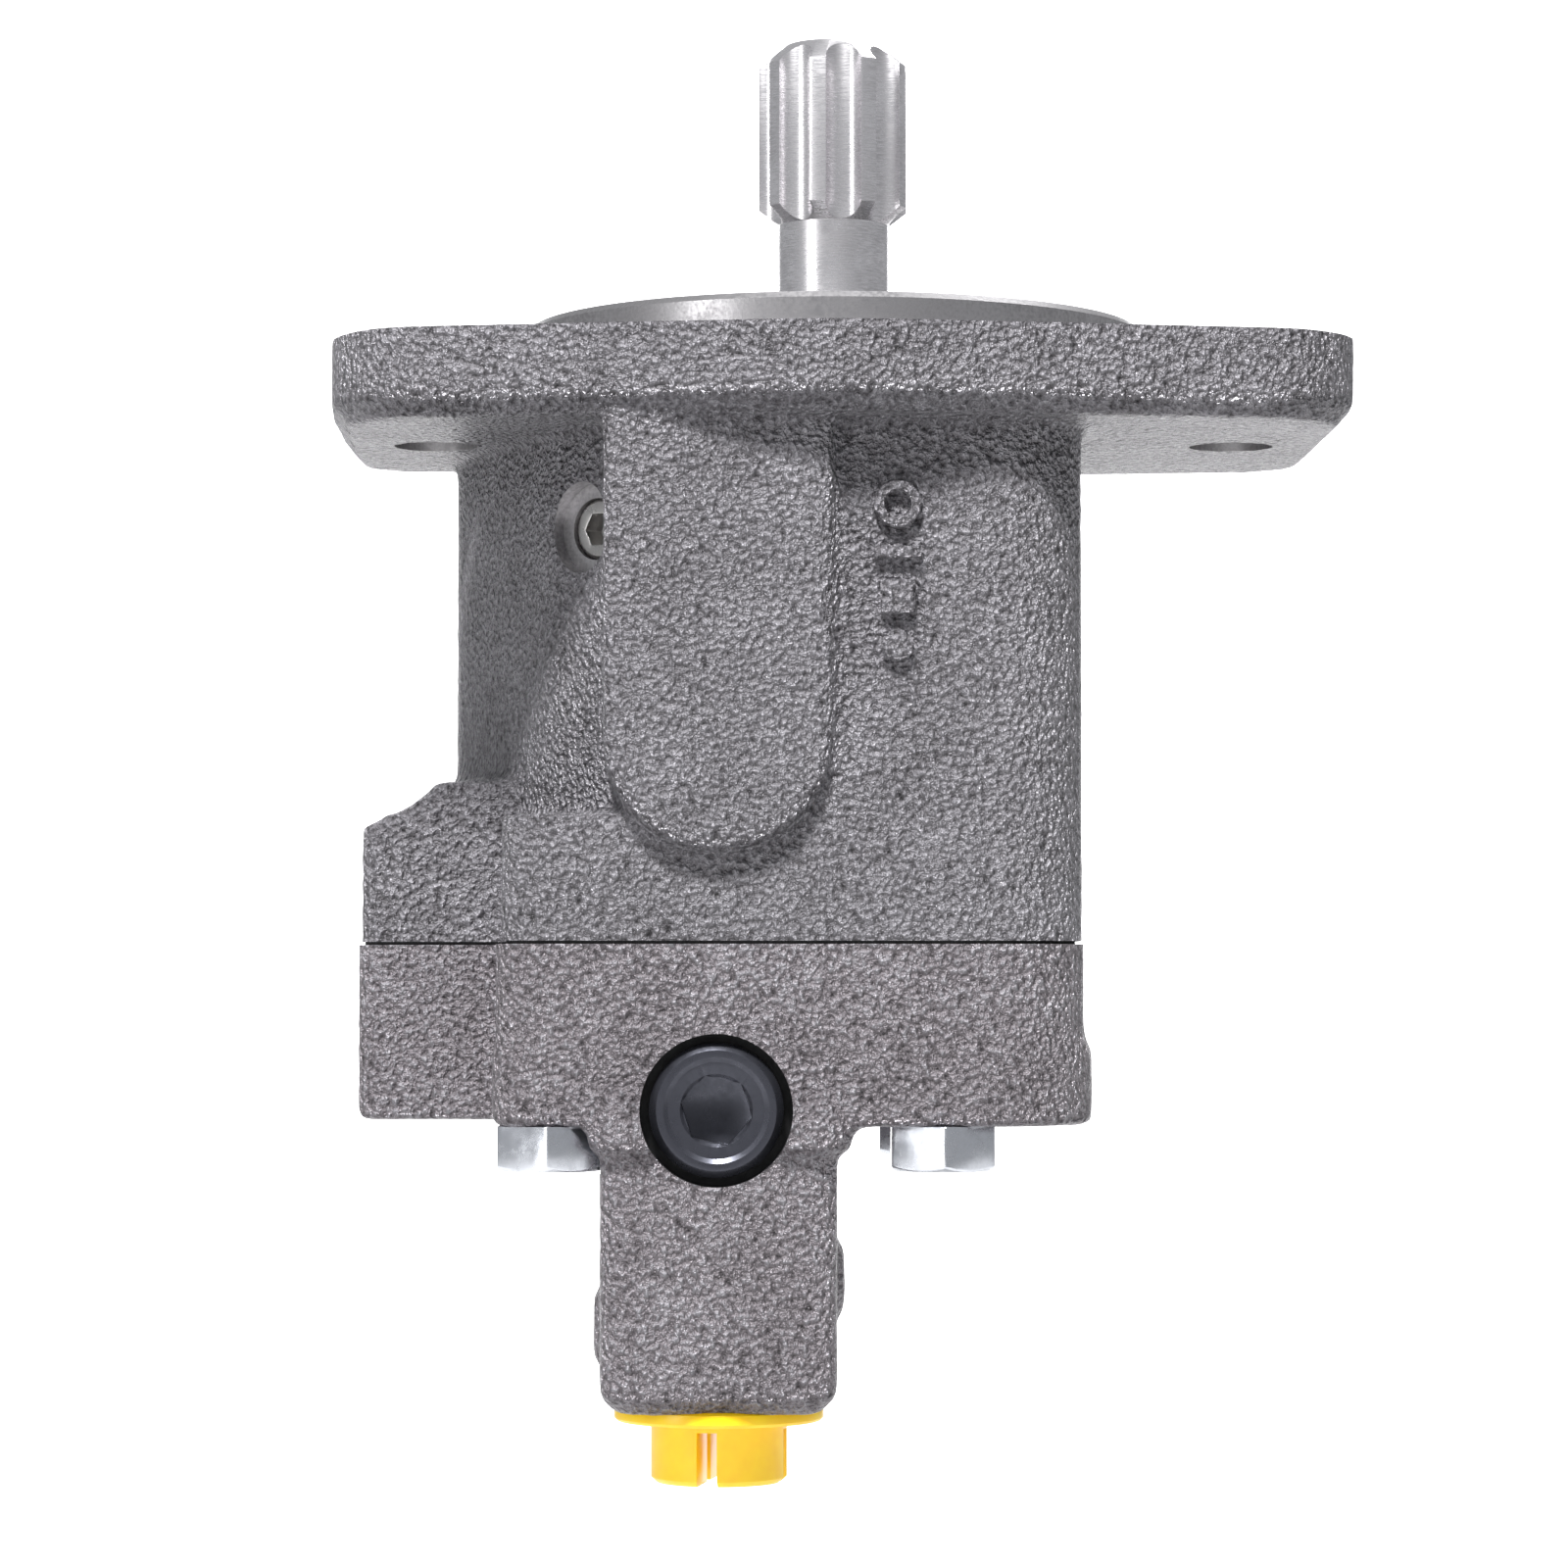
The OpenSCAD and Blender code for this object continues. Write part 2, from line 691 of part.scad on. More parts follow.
// A round-ended arm reaches out to its piston or spring
module swash_arm(at) {
    reach = at[1];
    low_y = min(reach, sign(reach) * 17);
    translate([at[0] - 3, low_y, pivot_z]) cube([6, abs(reach) - 17, 4.5]);
    translate([at[0], reach, pivot_z]) sphere(r = arm_ball_r, $fn = 48);
}

module cradle_liner(side) {
    half_angle = 48;
    outer_r = cradle_r + cradle_liner + 0.12;
    translate([side * cradle_x - cradle_w / 2 + 0.4, 0, pivot_z]) rotate([0, 90, 0]) difference() {
        cylinder(r = outer_r, h = cradle_w - 0.8);
        translate([0, 0, -1]) cylinder(r = cradle_r + 0.04, h = cradle_w + 2);
        translate([-outer_r * cos(half_angle), -30, -1]) cube([60, 60, cradle_w + 2]);
    }
}

module cradle_bearing_left() {
    color([0.7, 0.5, 0.3]) cradle_liner(-1);
}

module cradle_bearing_right() {
    color([0.7, 0.5, 0.3]) cradle_liner(1);
}

module valve_plate() {
    color([0.66, 0.58, 0.42]) difference() {
        disc(24, cover_top, barrel_bottom - 0.05);
        disc(10, cover_top - 1, barrel_bottom + 1);
        kidney(-1, 15, 19, cover_top - 1, barrel_bottom + 1);
        kidney(1, 15, 19, cover_top - 1, barrel_bottom + 1);
        translate([0, 21.6, cover_top - 1]) cylinder(r = 1.05, h = 3);
    }
}

module valve_plate_pin() {
    color([0.7, 0.7, 0.72]) translate([0, 21.6, cover_top]) cylinder(r = 1, h = 1.9);
}

module control_piston() {
    color([0.7, 0.7, 0.72]) translate([front_arm[0], front_arm[1], 0]) difference() {
        disc(control_r, pivot_z - 26, pivot_z - arm_ball_r - 0.02);
        disc(2.6, pivot_z - 27, pivot_z - 12);
        translate([0, 0, pivot_z - 20]) ring(control_r + 1, control_r - 0.7, -0.6, 0.6);
    }
}

module control_piston_ring() {
    color([0.2, 0.2, 0.2]) translate([front_arm[0], front_arm[1], pivot_z - 20])
        ring(control_r + 0.01, control_r - 0.65, -0.55, 0.55);
}

module bias_spring() {
    color([0.5, 0.52, 0.5]) translate([rear_arm[0], rear_arm[1], 0])
        coil_spring(5, 0.9, 7, joint_z + 1.65, pivot_z - 6.05);
}

module bias_spring_cap() {
    color([0.7, 0.7, 0.72]) translate([rear_arm[0], rear_arm[1], 0]) union() {
        disc(spring_well_r - 0.3, pivot_z - 6, pivot_z - arm_ball_r - 0.02);
        disc(3.6, pivot_z - 10, pivot_z - 5.9);
    }
}

module bias_spring_seat() {
    color([0.6, 0.6, 0.62]) translate([rear_arm[0], rear_arm[1], 0]) union() {
        disc(spring_well_r - 0.1, cover_top, joint_z + 1.6);
        disc(3.6, joint_z + 1.5, joint_z + 5);
    }
}

module compensator_plug() {
    color([0.1, 0.1, 0.11]) on_comp_axis(-face_y + 0.4) difference() {
        union() {
            cylinder(r = 8.5, h = 4);
            translate([0, 0, 3.9]) cylinder(r = 5.6, h = 3);
            translate([0, 0, 6.8]) cylinder(r = 7, h = 7.4);
            translate([0, 0, 14]) cylinder(r = 3, h = 2);
        }
        translate([0, 0, -1]) rotate([0, 0, 10]) hex_prism(8, 6.5);
        translate([0, 0, -eps]) cylinder(r = 6.5, h = 0.6);
        translate([0, 0, 5.4]) cylinder(r1 = 3, r2 = 0.2, h = 1.6);
    }
}

module compensator_plug_oring() {
    color([0.08, 0.08, 0.08]) on_comp_axis(-face_y + 5.9) torus(6.75, 1.1);
}

module compensator_spool() {
    color([0.72, 0.72, 0.74]) on_comp_axis(-19) union() {
        cylinder(r = 2.6, h = 28);
        for (start = [0, 10, 21]) {
            translate([0, 0, start]) cylinder(r = 4 - fit_gap, h = 6);
        }
    }
}

module compensator_spring_guide() {
    color([0.65, 0.65, 0.66]) on_comp_axis(9) union() {
        translate([0, 0, 1.2]) cylinder(r = 5, h = 1.5);
        cylinder(r = 1.8, h = 5);
    }
}

module compensator_spring() {
    color([0.5, 0.52, 0.5]) on_comp_axis(0) coil_spring(3.9, 0.9, 6, 11.75, 25.9);
}

module compensator_sleeve() {
    color([0.35, 0.35, 0.36]) on_comp_axis(0) difference() {
        union() {
            translate([0, 0, 26]) cylinder(r = 7, h = 5.6);
            translate([0, 0, 31.5]) cylinder(r = 5.6, h = 5);
            translate([0, 0, face_y]) hex_prism(17, 6.4);
        }
        translate([0, 0, 25]) cylinder(r = 3.53, h = 20);
    }
}

module compensator_sleeve_oring() {
    color([0.08, 0.08, 0.08]) on_comp_axis(33.7) torus(6.75, 1.1);
}

module adjuster_screw() {
    color([0.7, 0.7, 0.72]) on_comp_axis(0) difference() {
        union() {
            translate([0, 0, 26]) cylinder(r = 3.5, h = 28);
            translate([0, 0, 22]) cylinder(r = 2.4, h = 5);
        }
        translate([0, 0, 51]) hex_prism(4, 4);
    }
}

module adjuster_locknut() {
    color([0.7, 0.7, 0.72]) on_comp_axis(face_y + 6.5) difference() {
        hex_prism(13, 6.5);
        translate([0, 0, -1]) cylinder(r = 3.53, h = 10);
    }
}

module bleed_screw() {
    color([0.6, 0.6, 0.6]) on_bleed_axis() difference() {
        translate([0, 0, -9]) cylinder(r = 4, h = 5.6);
        translate([0, 0, -6.5]) hex_prism(4, 5);
    }
}

module case_drain_plug() {
    color([0.6, 0.6, 0.62]) on_drain_axis() difference() {
        union() {
            translate([0, 0, -3.9]) cylinder(r = 8, h = 3.5);
            translate([0, 0, -6]) cylinder(r = 4.8, h = 2.2);
            translate([0, 0, -10.8]) cylinder(r = 6, h = 4.9);
        }
        translate([0, 0, -4]) hex_prism(6, 5);
    }
}

module case_drain_plug_oring() {
    color([0.08, 0.08, 0.08]) on_drain_axis() translate([0, 0, -4.8]) torus(5.95, 0.75);
}

module inlet_plug() {
    color([0.1, 0.1, 0.11]) on_inlet_axis() difference() {
        union() {
            translate([0, 0, -4.2]) cylinder(r = 10.4, h = 4);
            translate([0, 0, -6.4]) cylinder(r = 7.4, h = 2.3);
            translate([0, 0, -13.3]) cylinder(r = 9, h = 7);
        }
        translate([0, 0, -6]) hex_prism(10, 7);
    }
}

module inlet_plug_oring() {
    color([0.08, 0.08, 0.08]) on_inlet_axis() translate([0, 0, -5.25]) torus(8.55, 0.85);
}

// A push-in plastic plug: ribbed skirt, rim and a cross-slotted head
module outlet_shipping_plug() {
    rim_t = 2;
    head_r = 8.75;
    head_t = 8.3;
    slot_w = 2.6;
    color([0.93, 0.76, 0.1]) translate([stem_x, outlet_y, stem_z]) difference() {
        union() {
            translate([0, 0, -rim_t]) cylinder(r = 13.5, h = rim_t);
            translate([0, 0, -0.1]) cylinder(r = 12, h = 12.1);
            for (z = [2, 5, 8]) {
                translate([0, 0, z]) cylinder(r = 12.25, h = 1);
            }
            translate([0, 0, -rim_t - head_t]) cylinder(r = head_r, h = head_t + 0.1);
        }
        cylinder(r = 10.2, h = 13);
        for (turn = [-10, 80]) {
            rotate([0, 0, turn]) translate([-slot_w / 2, -15, -rim_t - head_t - 1])
                cube([slot_w, 30, head_t - 1]);
        }
    }
}

housing();
end_cover();
cover_gasket();
cover_bolts();
lug_screw();
dowel_pins();
shaft_seal();
seal_snap_ring();
front_bearing_outer_ring();
front_bearing_inner_ring();
front_bearing_balls();
front_bearing_cage();
rear_bearing_cup();
rear_needle_rollers();
rear_roller_cage();
drive_shaft();
cylinder_barrel();
ball_guide();
push_pins();
barrel_spring();
barrel_spring_washers();
barrel_snap_ring();
piston_set_pistons();
piston_slippers();
slipper_retainer();
swash_plate();
cradle_bearing_left();
cradle_bearing_right();
valve_plate();
valve_plate_pin();
control_piston();
control_piston_ring();
bias_spring();
bias_spring_cap();
bias_spring_seat();
compensator_plug();
compensator_plug_oring();
compensator_spool();
compensator_spring_guide();
compensator_spring();
compensator_sleeve();
compensator_sleeve_oring();
adjuster_screw();
adjuster_locknut();
bleed_screw();
case_drain_plug();
case_drain_plug_oring();
inlet_plug();
inlet_plug_oring();
outlet_shipping_plug();
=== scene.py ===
# %% [markdown]
# # An axial piston pump, as a lesson in cast, turned and milled shapes
# The pump is a rough iron casting with a few machined places. The lesson follows the factory: a
# pattern of plain blocks, rounded corners, a sandy skin, and then the cutters that leave clean bores
# and faces. Everything is in metres, in the same frame as the CAD model: the shaft is the Z axis, the
# flange's mounting face is Z = 0, and the side with the socket plug looks along -Y.

# %% Load the frame
import json
from math import cos, pi, radians, sin

import bmesh
import bpy
from mathutils import Matrix, Vector, noise


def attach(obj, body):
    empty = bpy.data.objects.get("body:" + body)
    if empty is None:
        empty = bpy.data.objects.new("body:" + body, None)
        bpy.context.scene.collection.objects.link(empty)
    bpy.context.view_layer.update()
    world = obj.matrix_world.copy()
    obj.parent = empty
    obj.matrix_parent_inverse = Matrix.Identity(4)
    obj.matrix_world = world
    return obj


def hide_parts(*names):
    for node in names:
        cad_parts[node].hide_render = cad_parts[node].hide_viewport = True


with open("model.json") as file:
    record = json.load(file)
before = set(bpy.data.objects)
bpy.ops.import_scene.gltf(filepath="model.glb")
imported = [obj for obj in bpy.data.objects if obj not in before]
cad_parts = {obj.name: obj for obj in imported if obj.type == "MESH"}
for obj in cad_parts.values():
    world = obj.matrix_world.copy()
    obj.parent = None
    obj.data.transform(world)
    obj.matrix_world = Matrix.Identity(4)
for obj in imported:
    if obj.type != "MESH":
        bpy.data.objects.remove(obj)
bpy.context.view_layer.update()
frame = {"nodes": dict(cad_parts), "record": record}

MM = 0.001

# %% [markdown]
# ## The camera
# A long lens stands well below the flange and looks slightly up, so the underside of the flange's
# ears shows. It could be aimed with a constraint, but two plain angles say the same and are easier
# to read. The distance and the lens together set how strongly near faces grow.

# %% Camera
camera_data = bpy.data.cameras.new("camera")
camera_data.lens = 111.15
camera_data.sensor_width = 36
camera = bpy.data.objects.new("camera", camera_data)
TILT_UP = 2.2
TURN_RIGHT = 0.41
camera.location = (-0.01125, -0.646, -0.0813)
camera.rotation_euler = (radians(90 + TILT_UP), 0, radians(-TURN_RIGHT))
bpy.context.scene.collection.objects.link(camera)
bpy.context.scene.camera = camera
print("camera distance to the shaft:", -camera.location.y, "m")


# %% [markdown]
# ## Blocks and turned shapes
# Two helpers make nearly everything. `block` draws an outline, rounds its corners and pulls it up,
# like a pattern maker's board. `lathe` spins half a section about the Z axis, like a turner. The
# outlines are written in millimetres because drawings of machine parts are.

# %% Block and lathe
def new_object(name, bm, matrix=None):
    if matrix is not None:
        bmesh.ops.transform(bm, matrix=matrix, verts=bm.verts)
    bmesh.ops.recalc_face_normals(bm, faces=bm.faces)
    mesh = bpy.data.meshes.new(name)
    bm.to_mesh(mesh)
    bm.free()
    obj = bpy.data.objects.new(name, mesh)
    bpy.context.scene.collection.objects.link(obj)
    return obj


def block(outline, low, high, rounding=0, segments=6, matrix=None):
    """outline: corners (x, y) in mm; rounding: how far from each corner its round starts."""
    bm = bmesh.new()
    corners = [bm.verts.new((x * MM, y * MM, low * MM)) for x, y in outline]
    bm.faces.new(corners)
    rounds = rounding if isinstance(rounding, (list, tuple)) else [rounding] * len(corners)
    for corner, size in zip(corners, rounds):
        if size:
            bmesh.ops.bevel(bm, geom=[corner], offset=size * MM, offset_type="OFFSET",
                            affect="VERTICES", segments=segments, profile=0.5, material=-1)
    walls = bmesh.ops.extrude_face_region(bm, geom=bm.faces[:])
    top = [v for v in walls["geom"] if isinstance(v, bmesh.types.BMVert)]
    bmesh.ops.translate(bm, vec=(0, 0, (high - low) * MM), verts=top)
    return new_object("block", bm, matrix)


def lathe(section, steps=96, matrix=None):
    """section: points (radius, z) in mm, from the axis round to the axis again."""
    bm = bmesh.new()
    points = [bm.verts.new((r * MM, 0, z * MM)) for r, z in section]
    edges = [bm.edges.new(pair) for pair in zip(points, points[1:])]
    bmesh.ops.spin(bm, geom=points + edges, cent=(0, 0, 0), axis=(0, 0, 1), angle=2 * pi,
                   steps=steps, use_merge=True)
    bmesh.ops.remove_doubles(bm, verts=bm.verts, dist=1e-6)
    return new_object("turned", bm, matrix)


def rod(radius, low, high, steps=64, matrix=None):
    return lathe([(0, low), (radius, low), (radius, high), (0, high)], steps, matrix)


def box(x0, x1, y0, y1, z0, z1):
    return block([(x0, y0), (x1, y0), (x1, y1), (x0, y1)], z0, z1)


def hexagon(across_flats, turn=0):
    reach = across_flats / 2 / cos(radians(30))
    angles = [radians(60 * k + turn) for k in range(6)]
    return [(reach * cos(angle), reach * sin(angle)) for angle in angles]


def at(x, y, z):
    return Matrix.Translation((x * MM, y * MM, z * MM))


TO_FRONT = Matrix.Rotation(radians(90), 4, "X")    # what points along +Z now points along -Y
TO_BACK = Matrix.Rotation(radians(-90), 4, "X")    # ... along +Y
TO_RIGHT = Matrix.Rotation(radians(90), 4, "Y")    # ... along +X


# %% [markdown]
# ## From pattern to casting
# A casting has no sharp edges: molten iron rounds them, and the pattern maker fills the inner
# corners with wax. Bevelling every edge of overlapping blocks by hand is slow and breaks where three
# meet. A voxel remesh melts the blocks into one closed skin, a few smoothing passes round every
# edge and inner corner together, and a little noise gives the skin of the sand mould.

# %% Remesh, smooth, roughen and cut
def apply_modifiers(obj):
    evaluated = obj.evaluated_get(bpy.context.evaluated_depsgraph_get())
    mesh = bpy.data.meshes.new_from_object(evaluated)
    obj.modifiers.clear()
    old = obj.data
    obj.data = mesh
    bpy.data.meshes.remove(old)
    return obj


def remove(obj):
    mesh = obj.data
    bpy.data.objects.remove(obj)
    bpy.data.meshes.remove(mesh)


def merge(pieces):
    """Several objects into one, without changing any of them."""
    bm = bmesh.new()
    for piece in pieces:
        bm.from_mesh(piece.data)
        remove(piece)
    mesh = bpy.data.meshes.new("merged")
    bm.to_mesh(mesh)
    bm.free()
    obj = bpy.data.objects.new("merged", mesh)
    bpy.context.scene.collection.objects.link(obj)
    return obj


def cast(pieces, voxel=0.8, passes=14, grain=0.07):
    """Melts the blocks into one skin, rounds it and gives it the relief of sand, in mm."""
    obj = merge(pieces)
    remesh = obj.modifiers.new("melt", "REMESH")
    remesh.mode = "VOXEL"
    remesh.voxel_size = voxel * MM
    smooth = obj.modifiers.new("round", "SMOOTH")
    smooth.factor = 0.5
    smooth.iterations = passes
    apply_modifiers(obj)
    normals = [v.normal.copy() for v in obj.data.vertices]
    for vertex, normal in zip(obj.data.vertices, normals):
        place = vertex.co / MM
        relief = noise.noise(place / 2.6) + 0.8 * noise.noise(place / 1.1)
        vertex.co += normal * relief * grain * MM
    return obj


def cut(obj, cutter, operation="DIFFERENCE", material=None):
    if material is not None:
        cutter.data.materials.append(material)
    boolean = obj.modifiers.new("cut", "BOOLEAN")
    boolean.operation = operation
    boolean.solver = "MANIFOLD"
    boolean.material_mode = "TRANSFER"
    boolean.object = cutter
    apply_modifiers(obj)
    remove(cutter)
    return obj


def finish_piece(obj, name, body, nodes, material=None, sharp=32, bevel=0):
    """Names the piece, rounds its edges if asked, shades it, hangs it on its body and hides the CAD nodes
    it stands for.
    """
    obj.name = name
    obj.data.name = name
    if material is not None:
        obj.data.materials.clear()
        obj.data.materials.append(material)
    if bevel:
        edges = obj.modifiers.new("edges", "BEVEL")
        edges.width = bevel * MM
        edges.segments = 2
        edges.limit_method = "ANGLE"
        edges.angle_limit = radians(sharp)
        apply_modifiers(obj)
    obj.data.shade_smooth()
    obj.data.set_sharp_from_angle(angle=radians(sharp))
    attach(obj, body)
    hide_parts(*nodes)
    low = [round(min(v.co[k] for v in obj.data.vertices) / MM, 1) for k in range(3)]
    high = [round(max(v.co[k] for v in obj.data.vertices) / MM, 1) for k in range(3)]
    print(f"{name}: {len(obj.data.polygons)} faces, from {low} to {high} mm")
    return obj


# %% [markdown]
# ## Finishes
# Every finish is a Principled shader with a pattern on Object coordinates. The pattern is scaled by
# 1000 first, so its sizes can be thought of in millimetres. Iron that was poured in sand is dark,
# with a grain of about three quarters of a millimetre, so one noise drives both the bump and the
# colour, whose ramp paints shade into the pits and highlights onto the tops.

# %% Small helpers for nodes
def add_node(tree, kind, **inputs):
    made = tree.nodes.new(kind)
    for name, value in inputs.items():
        made.inputs[name.replace("_", " ")].default_value = value
    return made


def start_material(name, color, metallic, roughness, **sockets):
    material = bpy.data.materials.new(name)
    material.use_nodes = True
    shader = material.node_tree.nodes["Principled BSDF"]
    shader.inputs["Base Color"].default_value = (*color, 1)
    shader.inputs["Metallic"].default_value = metallic
    shader.inputs["Roughness"].default_value = roughness
    for socket, value in sockets.items():
        shader.inputs[socket.replace("_", " ")].default_value = value
    material.diffuse_color = (*color, 1)
    return material, material.node_tree, shader


def millimetres(tree, stretch=(1, 1, 1), shift=(0, 0, 0)):
    """Object coordinates in millimetres."""
    coordinates = add_node(tree, "ShaderNodeTexCoord")
    mapping = add_node(tree, "ShaderNodeMapping", Scale=tuple(1000 * s for s in stretch),
                       Location=shift)
    tree.links.new(coordinates.outputs["Object"], mapping.inputs["Vector"])
    return mapping.outputs["Vector"]


def noise_pattern(tree, vector, size, detail=2.0, roughness=0.5):
    """Noise with features of about size millimetres."""
    made = add_node(tree, "ShaderNodeTexNoise", Scale=1 / size, Detail=detail, Roughness=roughness)
    tree.links.new(vector, made.inputs["Vector"])
    return made.outputs[0]


def mixed(tree, parts):
    """A weighted sum of patterns: parts is a list of (output, weight)."""
    total = None
    for output, weight in parts:
        scaled = add_node(tree, "ShaderNodeMath")
        scaled.operation = "MULTIPLY_ADD"
        scaled.inputs[1].default_value = weight
        scaled.inputs[2].default_value = 0
        tree.links.new(output, scaled.inputs[0])
        if total is not None:
            tree.links.new(total, scaled.inputs[2])
        total = scaled.outputs[0]
    return total


def ramp(tree, factor, stops):
    made = add_node(tree, "ShaderNodeValToRGB")
    elements = made.color_ramp.elements
    while len(elements) < len(stops):
        elements.new(0.5)
    for element, (position, color) in zip(elements, stops):
        element.position = position
        element.color = (*color, 1) if isinstance(color, tuple) else (color, color, color, 1)
    tree.links.new(factor, made.inputs[0])
    return made.outputs[0]


def bump(tree, shader, height, depth):
    made = add_node(tree, "ShaderNodeBump", Strength=1.0, Distance=depth * MM)
    tree.links.new(height, made.inputs["Height"])
    tree.links.new(made.outputs[0], shader.inputs["Normal"])


# %% [markdown]
# ### Cast iron
# Three noises are added: the sand grain, a finer speckle, and broad blotches where oil has soaked in.
# The sum is turned into a colour by a ramp, from nearly black pits to grey tops: the grain's own
# tone, with painted shade in the pits and painted highlights on the tops. Most of the sandy look is
# relief, so the same height also drives a strong bump.

# %% Cast iron
def cast_iron(name, shift, warm=1.0):
    material, tree, shader = start_material(name, (0.1, 0.098, 0.1), 0.45, 0.5)
    place = millimetres(tree, shift=shift)
    grain = noise_pattern(tree, place, 0.75, detail=2.0, roughness=0.55)
    sand = add_node(tree, "ShaderNodeTexVoronoi", Scale=1 / 0.8)
    sand.feature = "SMOOTH_F1"
    sand.inputs["Smoothness"].default_value = 0.5
    tree.links.new(place, sand.inputs["Vector"])
    speckle = noise_pattern(tree, place, 0.2, detail=1.0)
    blotch = noise_pattern(tree, place, 14, detail=3.0, roughness=0.6)
    height = mixed(tree, [(grain, 1.0), (sand.outputs["Distance"], -0.55), (speckle, 0.12)])
    # the tone follows the relief height, so the ramp paints shade into the pits and highlights onto the
    # tops
    tone = mixed(tree, [(height, 0.75), (speckle, 0.3), (blotch, 0.3)])
    color = ramp(tree, tone, [(0.2, (0.024 * warm, 0.022, 0.024)), (0.33, (0.11 * warm, 0.104, 0.112)),
                              (0.54, (0.2 * warm, 0.192, 0.207)), (0.75, (0.33, 0.32, 0.345))])
    tree.links.new(color, shader.inputs["Base Color"])
    gloss = ramp(tree, speckle, [(0.35, 0.46), (0.65, 0.3)])
    tree.links.new(gloss, shader.inputs["Roughness"])
    bump(tree, shader, height, 2.2)
    return material


HOUSING_SKIN = cast_iron("cast iron, housing", (0, 0, 0))
COVER_SKIN = cast_iron("cast iron, cover", (37, 11, 5), warm=1.06)
print("cast finishes:", HOUSING_SKIN.name, COVER_SKIN.name)


# %% [markdown]
# ### Turned, ground and plated metal
# A turned face keeps the fine rings of the tool. Stretching a noise so that it changes only along the
# shaft, or only with the distance from it, draws such rings without an image. Ground and plated parts
# need much less: a faint unevenness of the gloss is enough to stop them looking like plastic.

# %% Machined metals
def turned_metal(name, color, roughness, stretch, size=0.18, depth=0.012, metallic=1.0):
    material, tree, shader = start_material(name, color, metallic, roughness)
    place = millimetres(tree, stretch=stretch)
    lines = noise_pattern(tree, place, size, detail=2.0)
    cloud = noise_pattern(tree, millimetres(tree), 6.0, detail=2.0)
    tone = mixed(tree, [(lines, 0.6), (cloud, 0.4)])
    low = tuple(0.72 * c for c in color)
    high = tuple(min(1, 1.12 * c) for c in color)
    tree.links.new(ramp(tree, tone, [(0.38, low), (0.62, high)]), shader.inputs["Base Color"])
    tree.links.new(ramp(tree, tone, [(0.35, roughness + 0.1), (0.65, roughness - 0.06)]),
                   shader.inputs["Roughness"])
    bump(tree, shader, lines, depth)
    return material


def plain_metal(name, color, roughness, metallic=1.0, **sockets):
    material, tree, shader = start_material(name, color, metallic, roughness, **sockets)
    cloud = noise_pattern(tree, millimetres(tree), 1.7, detail=4.0, roughness=0.65)
    tree.links.new(ramp(tree, cloud, [(0.35, roughness + 0.08), (0.65, roughness - 0.05)]),
                   shader.inputs["Roughness"])
    low = tuple(0.86 * c for c in color)
    tree.links.new(ramp(tree, cloud, [(0.36, low), (0.62, color)]), shader.inputs["Base Color"])
    bump(tree, shader, cloud, 0.006)
    return material


MACHINED_IRON = turned_metal("machined iron", (0.42, 0.41, 0.42), 0.34, (1, 1, 1), size=0.5)
# nearly black: painted shade for the deep plug bore, with a little real oil
OILED_BORE_PAINTED_SHADE = plain_metal("oiled bore with painted shade", (0.02, 0.02, 0.021), 0.45, metallic=0.5)
TURNED_STEEL = turned_metal("turned steel", (0.82, 0.8, 0.82), 0.27, (0.12, 0.12, 1.0), size=0.16)
FINISHES = {
    "cast_housing": HOUSING_SKIN,
    "cast_cover": COVER_SKIN,
    "turned_steel": TURNED_STEEL,
    "zinc_steel": plain_metal("bright zinc", (0.72, 0.74, 0.79), 0.22),
    "black_steel": plain_metal("black oxide", (0.07, 0.072, 0.088), 0.3, metallic=0.8),
    "plain_steel": plain_metal("plain steel", (0.5, 0.49, 0.48), 0.3),
    "spring_steel": plain_metal("spring wire", (0.3, 0.31, 0.33), 0.3),
    "bearing_steel": plain_metal("bearing steel", (0.68, 0.68, 0.7), 0.14),
    "cage_brass": plain_metal("cage brass", (0.72, 0.53, 0.22), 0.28),
    "cage_steel": plain_metal("cage steel", (0.45, 0.45, 0.47), 0.32),
    "barrel_steel": turned_metal("lapped barrel steel", (0.44, 0.42, 0.38), 0.22, (0.2, 0.2, 1.0)),
    "ground_steel": plain_metal("ground steel", (0.58, 0.58, 0.59), 0.18),
    "bronze": plain_metal("machined bronze", (0.62, 0.41, 0.2), 0.26),
    "seal_rubber": plain_metal("moulded rubber", (0.02, 0.02, 0.02), 0.5, metallic=0.0),
    "gasket": plain_metal("pressed gasket", (0.012, 0.012, 0.013), 0.8, metallic=0.0),
}
print("metals and rubbers:", sorted(FINISHES))

# %% [markdown]
# ### Yellow plastic
# The shipping plug is soft polyethylene. Light goes a little way into it, so a touch of subsurface
# scattering keeps its shaded side orange instead of grey.

# %% Yellow plastic
plastic, tree, shader = start_material("yellow polyethylene", (0.95, 0.6, 0.004), 0.0, 0.3,
                                       Subsurface_Weight=0.12, Subsurface_Scale=0.004)
shader.inputs["Subsurface Radius"].default_value = (1.0, 0.45, 0.05)
cloud = noise_pattern(tree, millimetres(tree), 3.0, detail=2.0)
tree.links.new(ramp(tree, cloud, [(0.3, (0.93, 0.56, 0.004)), (0.7, (0.97, 0.64, 0.005))]),
               shader.inputs["Base Color"])
bump(tree, shader, cloud, 0.02)
FINISHES["yellow_plastic"] = plastic
print("plastic:", plastic.name)

# %% [markdown]
# ### Giving the CAD pieces their finish
# The bearings, pistons, springs and the rest inside already have the right shape, so they stay as
# they are and only get a finish. The record says which node belongs to which slot.

# %% Finish the CAD nodes
for entry in frame["record"]["subparts"]:
    node = frame["nodes"][entry["node"]]
    node.data.materials.clear()
    node.data.materials.append(FINISHES[entry["material_slot"]])

